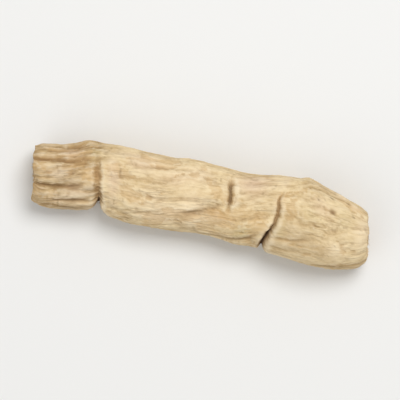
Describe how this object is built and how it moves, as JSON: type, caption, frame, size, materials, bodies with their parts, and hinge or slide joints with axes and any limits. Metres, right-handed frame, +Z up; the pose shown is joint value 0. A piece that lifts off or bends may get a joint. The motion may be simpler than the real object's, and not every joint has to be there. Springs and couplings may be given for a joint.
{
  "type": "dried morinda root",
  "caption": "Short length of dried morinda root: thick wrinkled bark with open transverse cracks, a shrunken ragged end, and a blunt cut end round a thin woody core.",
  "frame": {"origin": "on the surface that the root lies on, under the middle of the root's box", "axes": "+X along the root from its shrunken end to its blunt end, +Y across it, to the side that its bend bulges to, +Z up from the surface that it lies on"},
  "size_m": [0.04, 0.01, 0.0082],
  "materials": {
    "bark": "dry matt bark"
  },
  "bodies": {
    "root": {"morinda_root": "bark"}
  },
  "joints": []
}
